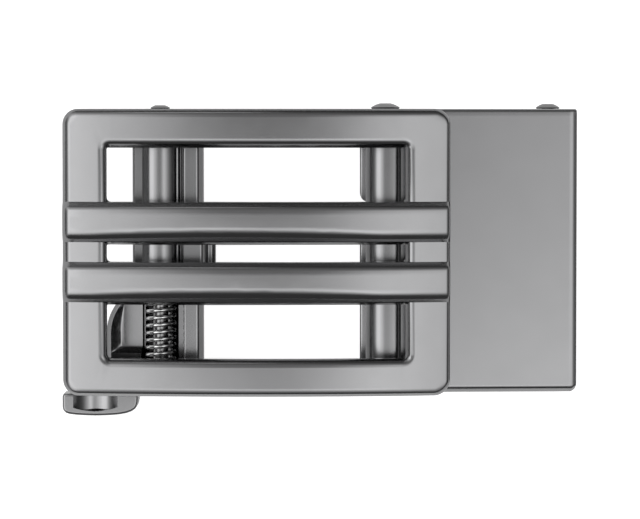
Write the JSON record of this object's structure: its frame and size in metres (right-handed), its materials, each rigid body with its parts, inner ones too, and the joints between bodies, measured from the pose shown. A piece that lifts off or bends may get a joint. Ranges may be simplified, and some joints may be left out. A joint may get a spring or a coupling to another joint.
{
  "type": "ratchet belt buckle",
  "caption": "Open-frame ratchet belt buckle: arched frame with raised bars, sprung pawl with finger lever, hinged strap clamp with toothed jaw.",
  "frame": {"origin": "on the surface that the buckle lies on, under the middle of its bounding box", "axes": "+X from the lever's end to the strap clamp, +Y towards the pins' heads, +Z out of the face"},
  "size_m": [0.0732, 0.0446, 0.0178],
  "materials": {
    "frame_casting": "satin gunmetal plating",
    "pawl_casting": "bright gunmetal plating",
    "clamp_casting": "satin gunmetal plating",
    "pin_steel": "polished, peened heads",
    "spring_wire": "bright drawn wire",
    "jaw_steel": "plain plated"
  },
  "bodies": {
    "frame": {"front_frame": "frame_casting", "pawl_pin": "pin_steel", "hinge_pin": "pin_steel", "pawl_spring": "spring_wire"},
    "pawl": {"pawl_lever": "pawl_casting"},
    "clamp": {"strap_clamp": "clamp_casting", "jaw_pin": "pin_steel"},
    "jaw": {"clamp_jaw": "jaw_steel"}
  },
  "joints": [
    {"name": "pawl_pivot", "type": "hinge", "parent": "frame", "child": "pawl", "pos_m": [-0.02247, 0.00141, 0.00702], "axis": [0, 1, 0], "range_deg": [0, 18], "stiffness_Nm_per_rad": 0.02, "springref_deg": -22.92, "deforming": ["pawl_spring"]},
    {"name": "clamp_hinge", "type": "hinge", "parent": "frame", "child": "clamp", "pos_m": [0.00942, 0.00141, 0.00615], "axis": [0, 1, 0], "range_deg": [-20, 90]},
    {"name": "jaw_hinge", "type": "hinge", "parent": "clamp", "child": "jaw", "pos_m": [0.03274, 0.00141, 0.00175], "axis": [0, 1, 0], "range_deg": [-100, 0]}
  ]
}
